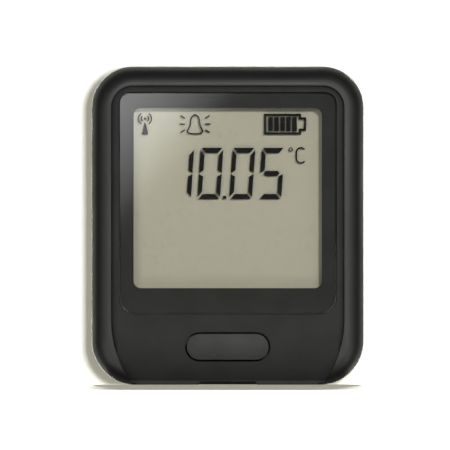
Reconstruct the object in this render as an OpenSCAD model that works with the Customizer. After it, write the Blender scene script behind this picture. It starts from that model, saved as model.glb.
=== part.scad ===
// Temperature data logger with a segment display behind a clear window and one push button.
// Millimetres, +Z up, the front faces -Y, and the origin lies under the middle of the base.
// Depths are counted backwards from the crest of the front rails.

/* [Housing] */
// Width of the housing
body_w = 70; // [69:0.5:76]
// Height of the housing
body_h = 82; // [81:0.5:90]
// Depth of the housing, rail crest to back face
body_d = 23; // [22.5:0.25:27]
// Outer corner radius at the top
top_corner_r = 10.6; // [10:0.1:12]
// Outer corner radius at the bottom
bottom_corner_r = 11.2; // [10.4:0.1:12]
// Depth of the rear casing, without its lip
rear_depth = 8.5; // [7:0.1:9]
// Wall of the front casing
front_wall = 2.2; // [1.9:0.1:2.6]
// Wall of the rear casing
rear_wall = 2; // [1.6:0.1:2.4]
// Thickness of the front panel
panel_t = 2.8; // [2.6:0.1:3]
// Radius of the rounded back edge
back_edge_r = 2.5; // [1:0.1:3.5]
// Chamfer of both casings at their joint
joint_chamfer = 0.25; // [0.1:0.05:0.4]

/* [Front rails] */
// Width of the rail round the panel
rail_w = 5; // [4.6:0.1:5.6]
// Radius of the rail's crest
rail_crest_r = 4; // [3:0.1:4.4]
// Flat left along the inner edge of the crest
rail_flat = 0.3; // [0.1:0.05:0.6]
// Depth at which the rail's flank begins to lean in
flank_d = 8; // [7:0.1:10]
// Step from the rail's crest down to the panel
panel_drop = 0.5; // [0.3:0.05:0.8]
// Corner radius of the panel at the top
panel_corner_r = 5.6; // [4.8:0.1:6.5]
// Height at which the rails' inner edges begin to lean towards each other
flare_z = 17; // [15:0.5:19]
// Radius of the rails' inner edge below that height
flare_r = 28.8; // [26:0.2:32]
// Width of the panel's rolled edge
band_w = 2; // [1.5:0.1:2.4]
// Radius of the panel's rolled edge
band_r = 2.7; // [2.5:0.1:3.5]
// Height at which the panel begins to roll back towards the base
roll_z = 13; // [12:0.5:14]
// Radius of that roll at the panel
roll_r = 16; // [15.5:0.1:17.5]
// Height of the upright rim at the end of that roll
rim_h = 1.1; // [0.9:0.1:1.3]

/* [Window and display] */
// Distance from the side of the housing to the window
lens_side_gap = 7.1; // [6.8:0.1:7.6]
// Distance from the top of the housing to the window
lens_top_gap = 6.8; // [6.6:0.1:7.4]
// Distance from the base to the window
lens_bottom_gap = 18.1; // [17.6:0.1:19.2]
// Window corner radius at the top
lens_top_r = 2.9; // [1.5:0.1:3.5]
// Window corner radius at the bottom
lens_bottom_r = 4.5; // [2:0.1:5]
// Window thickness
lens_t = 1.5; // [1.2:0.05:1.6]
// Gap round the window
lens_gap = 0.15; // [0.08:0.01:0.25]
// Depth of the window's face below the panel
lens_sink = 0.05; // [0.02:0.01:0.12]
// Thickness of the printed border
border_t = 0.1; // [0.06:0.01:0.12]
// Thickness of the window's adhesive
adhesive_t = 0.2; // [0.1:0.01:0.25]
// Distance from the side of the window to the viewing area
view_side_gap = 3.7; // [3.4:0.1:4.9]
// Distance from the top of the window to the viewing area
view_top_gap = 4; // [3.8:0.1:4.4]
// Distance from the bottom of the window to the viewing area
view_bottom_gap = 6.8; // [6.3:0.1:8.1]
// Corner radius of the viewing area
view_r = 1.9; // [1:0.1:2.5]
// Thickness of the display's foam gasket
gasket_t = 0.7; // [0.6:0.05:0.8]
// Thickness of a polariser
polariser_t = 0.2; // [0.15:0.01:0.3]
// Thickness of each display glass
glass_t = 1.1; // [0.9:0.05:1.1]
// Gap between the two glasses
cell_t = 0.1; // [0.06:0.01:0.15]

/* [Display figures] */
// Height of a figure
digit_h = 13.2; // [11:0.1:14]
// Width of a figure
digit_w = 5.85; // [5:0.05:6.1]
// Distance from one figure to the next
digit_pitch = 7.52; // [7.4:0.01:7.8]
// Extra distance at the point
point_space = 0.7; // [0.6:0.05:0.9]
// Thickness of a level stroke
level_stroke = 1.33; // [1:0.01:1.5]
// Thickness of an upright stroke
upright_stroke = 1.1; // [0.8:0.01:1.3]
// Gap between strokes
stroke_gap = 0.26; // [0.15:0.01:0.4]
// Line of the small symbols
symbol_line = 0.36; // [0.25:0.01:0.45]

/* [Button] */
// Width of the button's opening
button_w = 22; // [20:0.1:24]
// Height of the button's opening
button_h = 7.6; // [7:0.1:8]
// Height of the button's centre above the base
button_z = 9.8; // [9.4:0.1:10.4]
// Gap round the button
button_gap = 0.5; // [0.2:0.05:0.6]
// Travel of the button
button_travel = 0.4; // [0.25:0.05:0.4]
// Radius of the button's crown
crown_r = 7.84; // [7:0.02:9]
// Height of the crown's line above the button's centre
crown_rise = 1.5; // [1:0.1:2]
// Depth of the crown's top below the rail crest
crown_d = 0.06; // [0.02:0.01:0.4]
// How far the button's flange reaches behind the panel
flange_reach = 1; // [0.8:0.05:1.2]
// Thickness of the button's flange
flange_t = 1; // [0.8:0.05:1]

/* [Circuit board] */
// Depth of the board's front face
board_d = 9.3; // [9.2:0.05:9.6]
// Thickness of the board
board_t = 1.6; // [1.2:0.1:1.6]
// Gap between the board and the wall
board_gap = 0.6; // [0.4:0.05:0.8]
// Radius of the board screw posts
post_r = 1.9; // [1.8:0.05:2]
// Distance of the posts from the ends of the viewing area
post_inset = 3.15; // [1:0.05:7]

/* [Charging socket] */
// Width of the recess in the base
recess_w = 15.2; // [13:0.1:17]
// Height of the recess
recess_h = 0.9; // [0.6:0.05:1.1]
// Width of the socket's shell
socket_w = 7.5; // [7:0.1:8]
// Thickness of the socket's shell, outside
socket_t = 2.7; // [2.5:0.05:2.9]
// Length of the socket
socket_l = 5.5; // [5:0.1:6.5]

/* [Battery] */
// Width of the cell
cell_w = 36; // [30:0.5:38]
// Height of the cell's lower end above the base
cell_z = 10.5; // [10:0.5:15]
// Distance from the top of the housing to the cell
cell_top_gap = 31.5; // [30.5:0.5:36]
// Gap between the board and the cell, which its components stand in
cell_board_gap = 3.5; // [3:0.1:4.5]
// Thickness of its adhesive pad
pad_t = 0.8; // [0.5:0.05:1]

/* [Fixing] */
// Radius of a casing screw's shank
screw_r = 1.1; // [0.9:0.05:1.2]
// Radius of a casing screw's head
screw_head_r = 2.1; // [1.8:0.05:2.2]
// Length of a casing screw's shank
screw_l = 9; // [8:0.1:9.5]
// Radius of the front casing's screw bosses
boss_r = 2.4; // [2.2:0.05:2.5]
// Radius of the rear casing's screw bosses
rear_boss_r = 3.4; // [3.1:0.05:3.6]
// Radius of the keyhole's entry
keyhole_r = 3.6; // [3.2:0.1:4]
// Half width of the keyhole's slot
keyhole_slot_r = 1.9; // [1.6:0.05:2]
// Length of the keyhole's slot
keyhole_rise = 5.5; // [4.5:0.1:6]
// Distance from the top of the housing to the keyhole's entry
keyhole_top_gap = 17.5; // [16:0.5:19]

/* [Hidden] */
$fn = 48;

// One overrun serves all cuts
over = 1;
// Steps in an arc that is drawn by points
arc_steps = 8;
// Facets of the panel's wide roll
roll_facets = 96;
// How far a swept wall's section stays off the corner's axis, and how far it reaches in
sweep_margin = 1.5;
sweep_reach = min(top_corner_r, bottom_corner_r) - sweep_margin;

// Depths of the front stack, counted backwards from the crest
roof_d = panel_drop + panel_t;
lens_d = panel_drop + lens_sink;
border_d = lens_d + lens_t;
adhesive_d = border_d + border_t;
ledge_d = adhesive_d + adhesive_t;
glass_d = roof_d + gasket_t;
cell_d = glass_d + glass_t;
rear_glass_d = cell_d + cell_t;
reflector_d = rear_glass_d + glass_t;
shelf_d = reflector_d + polariser_t;
shelf_t = 1;
part_d = body_d - rear_depth;
board_back_d = board_d + board_t;
rear_inner_d = body_d - rear_wall;

// The panel's roll towards the base
roll_d = panel_drop + roll_r;
roof_roll_r = roll_r - panel_t;
rim_step = 0.15;
rim_d = roll_d - sqrt(roll_r * roll_r - (roll_z - rim_h) * (roll_z - rim_h)) - rim_step;

// The rail's flank is one wide arc that runs into the crest's arc
crest_u = rail_w - rail_flat;
flank_drop = flank_d - rail_crest_r;
flank_r = (flank_drop * flank_drop + crest_u * crest_u - rail_crest_r * rail_crest_r)
    / (2 * (crest_u - rail_crest_r));
flank_angle = atan2(flank_drop, flank_r - crest_u);

// The panel, whose rim ends just short of the housing's rounded corners
rim_inset = 0.4;
panel_x = body_w / 2 - rail_w;
panel_top = body_h - rail_w;
flare_angle = 40;
rim_x = body_w / 2 - bottom_corner_r - rim_inset;

// The window, the viewing area and the display
lens_w = body_w - 2 * lens_side_gap;
lens_top = body_h - lens_top_gap;
lens_base = lens_bottom_gap;
view_w = lens_w - 2 * view_side_gap;
view_top = lens_top - view_top_gap;
view_base = lens_base + view_bottom_gap;
view_h = view_top - view_base;
border_inset = 0.3;
aperture_margin = 0.4;
polariser_margin = 1;
glass_side = 2.4;
glass_top = 1.9;
contact_ledge = 2.6;
glass_bottom = contact_ledge + polariser_margin + aperture_margin;
glass_w = view_w + 2 * glass_side;
glass_base = view_base - glass_bottom;
glass_crest = view_top + glass_top;
gasket_gap = 0.2;
seal_w = 0.8;
frame_gap = 0.1;
frame_wall = 0.9;
frame_w = glass_w + 2 * (frame_gap + frame_wall);
frame_base = glass_base - frame_gap - frame_wall;
frame_top = glass_crest + frame_gap + frame_wall;
frame_edge_r = 0.6;
frame_window_inset = 9;
strip_w = 1.8;
strip_inset = 1;
strip_l = view_w - 2 * strip_inset;
strip_gap = 0.1;
strip_z = glass_base + contact_ledge / 2;

// The figures
slant_share = 0.068;
digits_right_gap = 10;
last_digit_right = view_w / 2 - digits_right_gap;
figures_drop = 16.8;
figures_z = view_top - figures_drop;
digit_count = 4;
point_side = 0.85;
symbols_drop = 1.4;
symbol_h = 5.4;
symbols_base = view_top - symbols_drop - symbol_h;

// The mast symbol
mast_left_gap = 2.9;
mast_x = mast_left_gap - view_w / 2;
mast_dot_r = 0.3;
mast_dot_share = 0.76;
mast_top_share = 0.56;
mast_base_w = 1.7;
mast_inner_r = 0.92;
mast_outer_r = 1.66;
mast_inner_angle = 45;
mast_outer_angle = 54;

// The bell symbol
bell_left_gap = 15.8;
bell_x = bell_left_gap - view_w / 2;
bell_ray_l = 1.35;
bell_ray_reach = 2.6;
bell_ray_share = 0.5;
bell_step_share = 0.27;
bell_ray_angle = 32;

// The battery symbol
battery_right_gap = 14.85;
battery_symbol_x = view_w / 2 - battery_right_gap;
battery_symbol_w = 9.55;
battery_line = 0.58;
nub_w = 1.3;
nub_share = 0.64;
bar_w = 1.2;
bar_pitch = 1.54;
bar_share = 0.68;
bar_start = 1.08;
bar_count = 5;

// The unit
degree_right_gap = 8;
degree_x = view_w / 2 - degree_right_gap;
degree_r = 0.43;
degree_line = 0.24;
unit_r = 1.2;
unit_straight = 1.5;
unit_line = 0.38;
unit_gap = 2.65;
unit_drop = 1.18;
unit_top_angle = 40;
unit_bottom_angle = 320;

// Screw places
boss_reach = 4.6;
boss_low_reach = 5;
boss_x = body_w / 2 - top_corner_r + boss_reach;
boss_z = body_h - top_corner_r + boss_reach;
boss_low_x = body_w / 2 - bottom_corner_r + boss_low_reach;
boss_low_z = bottom_corner_r - boss_low_reach;
boss_root = 0.3;
pilot_gap = 0.02;
pilot_depth = 6;
pilot_spare = 0.8;
seat_t = 4;
seat_d = part_d + seat_t;
head_gap = 0.3;
head_t = 1.5;
shank_gap = 0.2;
cross_depth = 0.8;
cross_share = 0.6;
post_root = 0.1;
post_x = body_w / 2 - front_wall - post_r + post_root;
board_screw_r = 0.9;
board_head_r = 1.75;
board_head_t = 1.1;
board_screw_l = 5.2;
board_hole_gap = 0.15;
board_notch_gap = 0.3;

// The lip that locates the two casings
lip_t = 1;
lip_h = 1.5;
lip_gap = 0.1;

// Button details
flange_w = button_w + 2 * flange_reach;
flange_h = button_h + 2 * flange_reach;
flange_gap = 0.05;
guide_gap = 0.3;
guide_t = 0.8;
guide_h = 2.2;
stem_r = 1.6;
cap_wall = 1;

// Push switch
switch_w = 6;
switch_base_t = 2;
switch_cover_t = 0.5;
plunger_r = 1.75;
plunger_gap = 0.05;
plunger_proud = 0.9;
plunger_flange_r = 2.4;
plunger_flange_t = 0.5;
well_gap = 0.1;
switch_leg_w = 0.7;
switch_leg_t = 0.25;
switch_leg_l = 1;
switch_leg_pitch = 4.5;
switch_top_d = board_d - switch_base_t - switch_cover_t;
plunger_top_d = switch_top_d - plunger_proud;
contact_gap = 0.02;

// Charging socket details
socket_wall = 0.3;
socket_corner_r = 0.6;
socket_sink = 0.05;
socket_mouth_z = recess_h + socket_sink;
socket_hole_gap = 0.2;
recess_slant = 0.5;
recess_slope = recess_slant / recess_h;
recess_back = 3;
tongue_t = 0.6;
tongue_l = 3.6;
tongue_w = 4.6;
tongue_block = 1.2;

// Keyhole pocket
pocket_depth = 3.2;
pocket_wall = 1;
pocket_side = 2;
keyhole_z = body_h - keyhole_top_gap;

// Battery and its lead
cell_edge_r = 2;
lead_r = 0.55;
lead_pitch = 2;
lead_x = 12;
header_w = 8;
header_t = 4.8;
header_l = 6;
header_wall = 0.8;
plug_gap = 0.08;
plug_proud = 1.4;
plug_l = 5.6;
lead_depth = 2.5;
lead_exit_gap = 0.3;
cell_front_d = board_back_d + cell_board_gap;
cell_depth = rear_inner_d - pad_t - cell_front_d;
cell_h = body_h - cell_top_gap - cell_z;
lead_d = cell_front_d + lead_r + lead_exit_gap;
header_d = board_back_d + header_t / 2;
lead_shift = lead_d - header_d;
lead_run = 4.5;
lead_rings = 10;
lead_sides = 8;
lead_start_z = cell_z + cell_h;
plug_z = lead_start_z + lead_run;

// Board components
radio_w = 16;
radio_h = 22;
radio_board_t = 0.8;
radio_can_w = 13.6;
radio_can_h = 14;
radio_can_t = 2.2;
radio_can_wall = 0.25;
radio_margin = 1;
radio_gap = 0.5;
radio_x = -keyhole_r - pocket_side - radio_gap - radio_w / 2;
radio_top_gap = 28.5;
radio_z = body_h - radio_top_gap;
chip_w = 10;
chip_t = 1.4;
chip_lift = 0.1;
chip_lead_w = 0.35;
chip_lead_t = 0.2;
chip_lead_l = 1;
chip_lead_pitch = 0.8;
chip_lead_count = 11;
chip_x = -14;
chip_gap = 6.5;
chip_z = radio_z - chip_gap - chip_w / 2;
small_chip_w = 4;
small_chip_t = 0.9;
small_chip_x = 12;
small_chip_z = 14;
crystal_w = 3.2;
crystal_h = 1.5;
crystal_t = 0.8;
crystal_x = -2;
inductor_w = 5;
inductor_t = 2.4;
inductor_core_r = 2;
inductor_lip_t = 0.5;
inductor_x = 20;
cap_w = 1.2;
cap_h = 2;
cap_t = 1;
cap_pitch = 3;
cap_count = 5;
cap_x = 2;
cap_drop = 4;
cap_z = chip_z - cap_drop;
sensor_side = 2;
sensor_t = 0.8;
sensor_inset = 15;
sensor_x = sensor_inset - body_w / 2;
sensor_z = 5.4;
sensor_slot = 0.8;
sensor_island = 5;

// Colours
SHELL = [0.17, 0.17, 0.17];
KEY = [0.27, 0.27, 0.27];
CLEAR = [0.85, 0.88, 0.88, 0.3];
PRINT = [0.1, 0.1, 0.1];
FIGURE = [0.12, 0.12, 0.12];
OLIVE = [0.62, 0.61, 0.53];
BOARD = [0.08, 0.32, 0.2];
STEEL = [0.72, 0.72, 0.7];
CHIP = [0.12, 0.12, 0.13];
CREAM = [0.9, 0.88, 0.8];
POUCH = [0.75, 0.76, 0.78];

function y_at(d) = d - body_d / 2;

// Points on an arc from angle a to angle b
function arc(cx, cy, r, a, b) = [for (i = [0 : arc_steps])
    let (t = a + (b - a) * i / arc_steps) [cx + r * cos(t), cy + r * sin(t)]];

// A flat shape in X and Z, carried back from depth d by t
module slab(d, t) {
    translate([0, y_at(d + t), 0]) rotate([90, 0, 0]) linear_extrude(t) children();
}

// A shape in height and depth, carried across the width
module across(w) {
    translate([0, y_at(0), 0]) rotate([0, -90, 0]) linear_extrude(w, center = true) children();
}

// A turned piece whose axis runs from front to back, from depth d
module along_depth(x, z, d) {
    translate([x, y_at(d), z]) rotate([-90, 0, 0]) children();
}

module rod(x, z, r, d, t) {
    along_depth(x, z, d) cylinder(h = t, r = r);
}

// A rectangle with one corner radius at the top and one at the bottom
module card(w, base, top, rt, rb) {
    translate([-w / 2, base + rb]) square([w, top - base - rt - rb]);
    translate([rt - w / 2, base + rb]) square([w - 2 * rt, top - base - rb]);
    translate([rb - w / 2, base]) square([w - 2 * rb, top - base - rt]);
    for (s = [-1, 1]) {
        translate([s * (w / 2 - rt), top - rt]) circle(rt);
        translate([s * (w / 2 - rb), base + rb]) circle(rb);
    }
}

// The housing's outline, drawn in by a margin
module outline(inset) {
    card(body_w - 2 * inset, inset, body_h - inset, top_corner_r - inset, bottom_corner_r - inset);
}

module stadium(w, h, z) {
    translate([(h - w) / 2, z - h / 2]) square([w - h, h]);
    for (s = [-1, 1]) translate([s * (w - h) / 2, z]) circle(h / 2);
}

module block(x, z, w, h, d, t) {
    translate([x - w / 2, y_at(d), z]) cube([w, t, h]);
}

// One corner of a swept wall, its section given as inward distance and depth
module swept_corner(x, z, r, turn, sweep = 90) {
    along_depth(x, z, 0) rotate([0, 0, turn]) rotate_extrude(angle = sweep)
        translate([r, 0]) mirror([1, 0]) children();
}

// One level stretch of a swept wall above or below the middle
module swept_level(z, l, down) {
    translate([l / 2, y_at(0), z]) rotate([0, -90, 0]) linear_extrude(l) mirror([down, 0]) children();
}

// One upright stretch of a swept wall, on the right or left
module swept_upright(x, base, l, right) {
    translate([x, y_at(0), base]) linear_extrude(l) mirror([right, 0]) children();
}

// A wall section carried right round the housing
module swept_round() {
    for (s = [0, 1]) {
        swept_upright((2 * s - 1) * body_w / 2, bottom_corner_r, body_h - top_corner_r - bottom_corner_r, s)
            children();
        swept_corner((2 * s - 1) * (body_w / 2 - top_corner_r), body_h - top_corner_r, top_corner_r,
            90 * s - 180) children();
        swept_corner((2 * s - 1) * (body_w / 2 - bottom_corner_r), bottom_corner_r, bottom_corner_r,
            90 - 90 * s) children();
    }
    swept_level(body_h, body_w - 2 * top_corner_r, 1) children();
    swept_level(0, body_w - 2 * bottom_corner_r, 0) children();
}

// Fills the middle of a swept blank from depth d by t
module core(d, t) {
    slab(d, t) outline(sweep_reach - over);
}

// Section of the front rail: upright wall, leaning flank and rounded crest
module rail_section() {
    flank = arc(flank_r, flank_d, flank_r, 180, 180 + flank_angle);
    polygon(concat(
        [[joint_chamfer, part_d], [0, part_d - joint_chamfer]],
        [for (i = [0 : arc_steps - 1]) flank[i]],
        arc(crest_u, rail_crest_r, rail_crest_r, 180 + flank_angle, 270),
        [[sweep_reach, 0], [sweep_reach, part_d]]));
}

// Section of the rear wall with its rounded back edge
module rear_section() {
    polygon(concat(
        [[sweep_reach, part_d], [sweep_reach, body_d]],
        arc(back_edge_r, body_d - back_edge_r, back_edge_r, 90, 180),
        [[0, part_d + joint_chamfer], [joint_chamfer, part_d]]));
}

// Height and depth of what lies behind a roll of radius r
module rolled_profile(r) {
    translate([roll_z, roll_d - r]) square([body_h, body_d]);
    translate([-over, roll_d]) square([roll_z + 2 * over, body_d]);
    intersection() {
        translate([roll_z, roll_d]) circle(r, $fn = roll_facets);
        translate([-over, roll_d - r]) square([roll_z + over, r + over]);
    }
}

// Outline of the panel between the rails, drawn in again towards the base
module panel_outline() {
    translate([-panel_x, flare_z]) square([2 * panel_x, panel_top - panel_corner_r - flare_z]);
    translate([panel_corner_r - panel_x, flare_z])
        square([2 * (panel_x - panel_corner_r), panel_top - flare_z]);
    for (s = [-1, 1])
        translate([s * (panel_x - panel_corner_r), panel_top - panel_corner_r]) circle(panel_corner_r);
    intersection() {
        union() {
            translate([panel_x - flare_r, flare_z]) circle(flare_r);
            translate([flare_r - panel_x, flare_z]) circle(flare_r);
        }
        translate([-panel_x, rim_h / 2]) square([2 * panel_x, flare_z - rim_h / 2]);
    }
    translate([-rim_x, -over]) square([2 * rim_x, rim_h + 2 * over]);
}

// Height and depth of what lies behind the panel, whose roll ends just behind an upright rim at the base
module panel_profile() {
    rolled_profile(roll_r);
    translate([-over, rim_d]) square([rim_h + over, body_d]);
}

// Section that is cut away along the panel's edge to roll it down into the groove
module band_section() {
    start = acos(band_w / band_r);
    polygon(concat(
        [[band_w, -over], [0, -over]],
        arc(band_w, panel_drop + band_r, band_r, 180 + start, 270)));
}

module panel_band() {
    for (s = [0, 1]) {
        swept_upright((2 * s - 1) * panel_x, flare_z, panel_top - panel_corner_r - flare_z, s)
            band_section();
        swept_corner((2 * s - 1) * (panel_x - panel_corner_r), panel_top - panel_corner_r, panel_corner_r,
            90 * s - 180) band_section();
        mirror([s, 0, 0]) swept_corner(panel_x - flare_r, flare_z, flare_r, 0, flare_angle) band_section();
    }
    swept_level(panel_top, 2 * (panel_x - panel_corner_r), 1) band_section();
}

// What the front casing leaves free inside
module front_cavity() {
    intersection() {
        slab(roof_d, part_d + over - roof_d) outline(front_wall);
        across(2 * body_w) rolled_profile(roof_roll_r);
    }
}

module at_bosses() {
    for (s = [-1, 1]) {
        translate([s * boss_x, 0, boss_z]) children();
        translate([s * boss_low_x, 0, boss_low_z]) children();
    }
}

module at_posts() {
    for (s = [-1, 1], z = [view_base + post_inset, view_top - post_inset])
        translate([s * post_x, 0, z]) children();
}

// The recess in the base and the hole for the charging socket
module socket_cut() {
    recess_reach = board_back_d + socket_t + recess_back;
    translate([0, y_at(-over), 0]) rotate([-90, 0, 0]) linear_extrude(recess_reach + over)
        polygon([
            [-recess_w / 2 - over * recess_slope, over],
            [recess_w / 2 + over * recess_slope, over],
            [recess_w / 2 - recess_slant, -recess_h],
            [recess_slant - recess_w / 2, -recess_h]]);
    block(0, 0, socket_w + 2 * socket_hole_gap, socket_mouth_z + front_wall + over,
        board_back_d - socket_hole_gap, socket_t + 2 * socket_hole_gap);
}

module button_guide() {
    intersection() {
        slab(roof_d - boss_root, roof_d + guide_h) difference() {
            stadium(flange_w + 2 * (guide_gap + guide_t), flange_h + 2 * (guide_gap + guide_t), button_z);
            stadium(flange_w + 2 * guide_gap, flange_h + 2 * guide_gap, button_z);
        }
        across(2 * body_w) difference() {
            rolled_profile(roof_roll_r + boss_root);
            rolled_profile(roof_roll_r - guide_h);
        }
    }
}

module front_casing() {
    color(SHELL) difference() {
        union() {
            difference() {
                union() {
                    swept_round() rail_section();
                    core(0, part_d);
                }
                difference() {
                    slab(-over, roll_d) panel_outline();
                    across(2 * body_w) panel_profile();
                }
                panel_band();
                front_cavity();
                slab(part_d - lip_h - lip_gap, lip_h + lip_gap + over) outline(front_wall - lip_t - lip_gap);
            }
            at_bosses() rod(0, 0, boss_r, roof_d - boss_root, part_d - roof_d + boss_root);
            at_posts() rod(0, 0, post_r, roof_d - boss_root, board_d - roof_d + boss_root);
            button_guide();
        }
        slab(-over, ledge_d + over)
            card(lens_w + 2 * lens_gap, lens_base - lens_gap, lens_top + lens_gap,
                lens_top_r + lens_gap, lens_bottom_r + lens_gap);
        slab(0, roof_d + over)
            card(view_w + 2 * aperture_margin, view_base - aperture_margin, view_top + aperture_margin,
                view_r, view_r);
        slab(-over, part_d) stadium(button_w, button_h, button_z);
        at_bosses() rod(0, 0, screw_r + pilot_gap, part_d - pilot_depth, pilot_depth + over);
        at_posts() rod(0, 0, board_screw_r + pilot_gap, board_back_d - board_screw_l - pilot_spare,
            board_screw_l + over);
        socket_cut();
    }
}

module keyhole() {
    rod(0, keyhole_z, keyhole_r, rear_inner_d - over, rear_wall + 2 * over);
    rod(0, keyhole_z + keyhole_rise, keyhole_slot_r, rear_inner_d - over, rear_wall + 2 * over);
    block(0, keyhole_z, 2 * keyhole_slot_r, keyhole_rise, rear_inner_d - over, rear_wall + 2 * over);
}

// The space behind the keyhole that a screw's head slides in
module keyhole_pocket(grow) {
    reach = keyhole_r + pocket_side - pocket_wall + grow;
    depth = pocket_depth + grow;
    block(0, keyhole_z - reach, 2 * reach, keyhole_rise + reach + keyhole_r + grow,
        rear_inner_d - depth, depth + (grow > 0 ? rear_wall / 2 : 0));
}

module rear_casing() {
    color(SHELL) difference() {
        union() {
            difference() {
                union() {
                    swept_round() rear_section();
                    core(part_d, body_d - part_d);
                    slab(part_d - lip_h, lip_h + over) difference() {
                        outline(front_wall - lip_t);
                        outline(front_wall);
                    }
                }
                slab(part_d - over, rear_inner_d - part_d + over) outline(front_wall);
            }
            at_bosses() rod(0, 0, rear_boss_r, part_d, rear_inner_d - part_d + boss_root);
            keyhole_pocket(pocket_wall);
        }
        keyhole_pocket(0);
        keyhole();
        at_bosses() {
            rod(0, 0, screw_r + shank_gap, part_d - over, seat_t + 2 * over);
            rod(0, 0, screw_head_r + head_gap, seat_d, body_d - seat_d + over);
            lip_relief();
        }
        socket_cut();
    }
}

// Keeps the lip clear of the front casing's bosses
module lip_relief() {
    rod(0, 0, boss_r + lip_gap, part_d - lip_h - over, lip_h + over);
}

module lens_card(inset, d, t) {
    slab(d, t) card(lens_w - 2 * inset, lens_base + inset, lens_top - inset,
        lens_top_r - inset, lens_bottom_r - inset);
}

module view_hole(margin, d, t) {
    slab(d - over, t + 2 * over) card(view_w + 2 * margin, view_base - margin, view_top + margin,
        view_r, view_r);
}

module window_lens() {
    color(CLEAR) lens_card(0, lens_d, lens_t);
}

module window_border() {
    color(PRINT) difference() {
        lens_card(border_inset, border_d, border_t);
        view_hole(0, border_d, border_t);
    }
}

module lens_adhesive() {
    color(PRINT) difference() {
        lens_card(border_inset, adhesive_d, adhesive_t);
        view_hole(aperture_margin, adhesive_d, adhesive_t);
    }
}

// A sheet of the display with its own margins round the viewing area
module view_sheet(side, top, bottom, d, t) {
    block(0, view_base - bottom, view_w + 2 * side, view_h + top + bottom, d, t);
}

module display_gasket() {
    gasket_in = polariser_margin + gasket_gap;
    color(CHIP) difference() {
        view_sheet(glass_side, glass_top, glass_bottom, roof_d, gasket_t);
        view_sheet(gasket_in, gasket_in, gasket_in, roof_d - over, gasket_t + 2 * over);
    }
}

module front_polariser() {
    color(CLEAR) view_sheet(polariser_margin, polariser_margin, polariser_margin, glass_d - polariser_t,
        polariser_t);
}

module front_glass() {
    color(CLEAR) view_sheet(glass_side, glass_top, glass_bottom, glass_d, glass_t);
}

module cell_seal() {
    low = glass_bottom - contact_ledge;
    color(CLEAR) difference() {
        view_sheet(glass_side, glass_top, low, cell_d, cell_t);
        view_sheet(glass_side - seal_w, glass_top - seal_w, low - seal_w, cell_d - over, cell_t + 2 * over);
    }
}

module rear_glass() {
    color(CLEAR) view_sheet(glass_side, glass_top, glass_bottom - contact_ledge, rear_glass_d, glass_t);
}

module rear_reflector() {
    color(OLIVE) view_sheet(polariser_margin, polariser_margin, polariser_margin, reflector_d, polariser_t);
}

// Points of a shape that leans with the figures, drawn about the figures' middle height
function leaned(points) = [for (p = points) [p[0] + slant_share * (p[1] - digit_h / 2), p[1]]];

function mirrored_x(points) = [for (p = points) [digit_w - p[0], p[1]]];

function mirrored_z(points) = [for (p = points) [p[0], digit_h - p[1]]];

upper_left = [
    [0, digit_h - 2 * stroke_gap],
    [0, (digit_h + stroke_gap) / 2],
    [upright_stroke, (digit_h + stroke_gap) / 2 + level_stroke / 2],
    [upright_stroke, digit_h - level_stroke - 2 * stroke_gap]];
top_bar = [
    [stroke_gap, digit_h],
    [digit_w - stroke_gap, digit_h],
    [digit_w - upright_stroke - stroke_gap, digit_h - level_stroke],
    [upright_stroke + stroke_gap, digit_h - level_stroke]];
middle_bar = [
    [upright_stroke - stroke_gap, digit_h / 2],
    [upright_stroke + stroke_gap, (digit_h + level_stroke) / 2],
    [digit_w - upright_stroke - stroke_gap, (digit_h + level_stroke) / 2],
    [digit_w - upright_stroke + stroke_gap, digit_h / 2],
    [digit_w - upright_stroke - stroke_gap, (digit_h - level_stroke) / 2],
    [upright_stroke + stroke_gap, (digit_h - level_stroke) / 2]];

// The seven strokes in the order: top, upper right, lower right, bottom, lower left, upper left, middle
STROKES = [top_bar, mirrored_x(upper_left), mirrored_z(mirrored_x(upper_left)), mirrored_z(top_bar),
    mirrored_z(upper_left), upper_left, middle_bar];

// The strokes that are dark in each figure shown
NOUGHT = [0, 1, 2, 3, 4, 5];
ONE = [1, 2];
FIVE = [0, 5, 6, 2, 3];

module figure(right_x, strokes) {
    translate([right_x - digit_w, figures_z - digit_h / 2])
        for (i = strokes) polygon(leaned(STROKES[i]));
}

module ring_arc(r, line, from, to) {
    reach = 2 * r;
    middle = (from + to) / 2;
    intersection() {
        difference() {
            circle(r + line / 2);
            circle(r - line / 2);
        }
        polygon([
            [0, 0],
            [reach * cos(from), reach * sin(from)],
            [reach * cos(middle), reach * sin(middle)],
            [reach * cos(to), reach * sin(to)]]);
    }
}

module mast_symbol() {
    mast_h = mast_top_share * symbol_h;
    translate([mast_x, symbols_base]) {
        polygon([[-mast_base_w / 2, 0], [mast_base_w / 2, 0], [symbol_line / 2, mast_h],
            [-symbol_line / 2, mast_h]]);
        translate([0, mast_dot_share * symbol_h]) {
            circle(mast_dot_r);
            for (s = [0, 180]) {
                rotate(s) ring_arc(mast_inner_r, symbol_line, -mast_inner_angle, mast_inner_angle);
                rotate(s) ring_arc(mast_outer_r, symbol_line, -mast_outer_angle, mast_outer_angle);
            }
        }
    }
}

// Half width of the bell as shares of the symbol's height, from the base up to the crown
bell_shares = [[0, 0], [0.22, 0.015], [0.335, 0.06], [0.405, 0.145], [0.39, 0.21], [0.33, 0.31],
    [0.275, 0.42], [0.25, 0.55], [0.24, 0.7], [0.205, 0.82], [0.14, 0.91], [0.07, 0.955], [0, 1]];
bell_inner_shares = [[0, 0.07], [0.2, 0.08], [0.29, 0.115], [0.33, 0.155], [0.32, 0.2], [0.265, 0.295],
    [0.207, 0.42], [0.182, 0.55], [0.172, 0.69], [0.145, 0.785], [0.095, 0.85], [0.04, 0.885], [0, 0.89]];

function both_sides(shares) = concat(
    [for (p = shares) p * symbol_h],
    [for (i = [len(shares) - 2 : -1 : 1]) [-shares[i][0] * symbol_h, shares[i][1] * symbol_h]]);

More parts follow.
